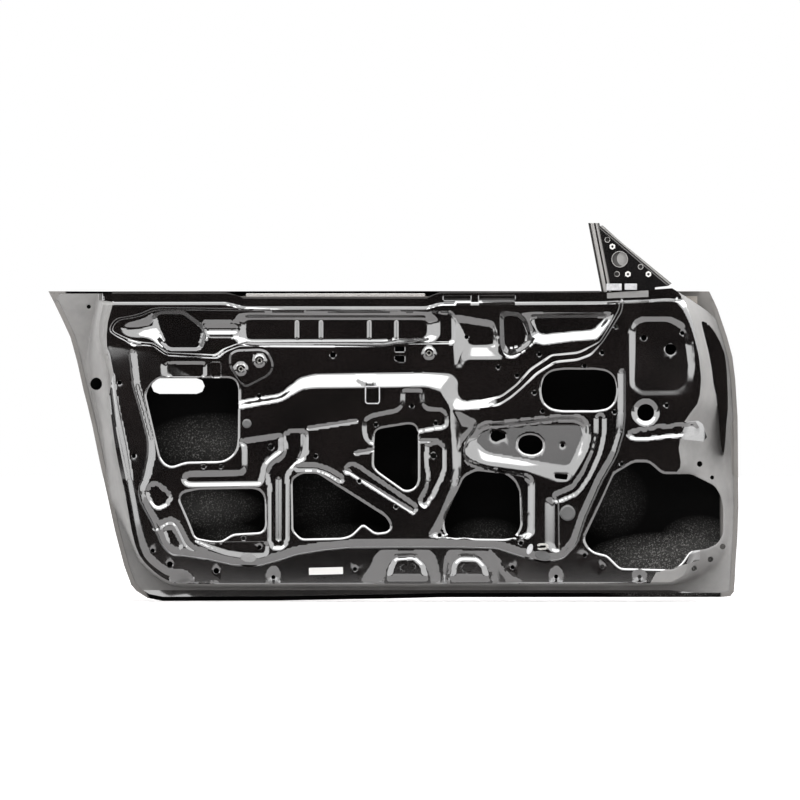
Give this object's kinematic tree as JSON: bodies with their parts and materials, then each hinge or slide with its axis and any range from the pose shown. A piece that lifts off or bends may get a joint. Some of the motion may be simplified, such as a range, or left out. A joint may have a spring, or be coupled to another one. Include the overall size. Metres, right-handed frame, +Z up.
{
  "type": "car door shell",
  "caption": "Bare left-hand front door shell of a two-door car: pressed black inner panel hemmed into a primed outer skin, with mirror mount and glass channel.",
  "frame": {"origin": "below the middle of the door's box, at the height of its lowest edge", "axes": "+X towards the car's front (hinge end), +Y outwards from the cabin, +Z up; the cabin side faces -Y"},
  "size_m": [1.3836, 0.1242, 0.7568],
  "materials": {
    "skin_primer": "satin",
    "panel_black": "gloss",
    "rail_black": "satin",
    "rail_primer": "satin",
    "pile": "fuzzy",
    "mirror_black": "gloss",
    "channel_black": "satin",
    "zinc": "plated",
    "nylon": "matte",
    "rubber": "matte"
  },
  "bodies": {
    "root": {"outer_skin": "skin_primer", "inner_panel": "panel_black", "belt_rail_inner": "rail_black", "belt_rail_outer": "rail_primer", "belt_sweep": "pile", "mirror_plate": "mirror_black", "mirror_nut_upper": "zinc", "mirror_nut_lower_rear": "zinc", "mirror_nut_lower_front": "zinc", "mirror_foot_rear": "nylon", "mirror_foot_front": "nylon", "front_glass_channel": "channel_black", "blanking_plug_rear": "rubber", "blanking_plug_front": "rubber", "weld_nut_pad_rear": "zinc", "weld_nut_pad_front": "zinc", "weld_nut_pull": "zinc", "trim_clip": "nylon", "groove_pad_rear": "rubber", "groove_pad_front": "rubber", "harness_clip": "zinc", "harness_lug": "nylon"}
  },
  "joints": []
}
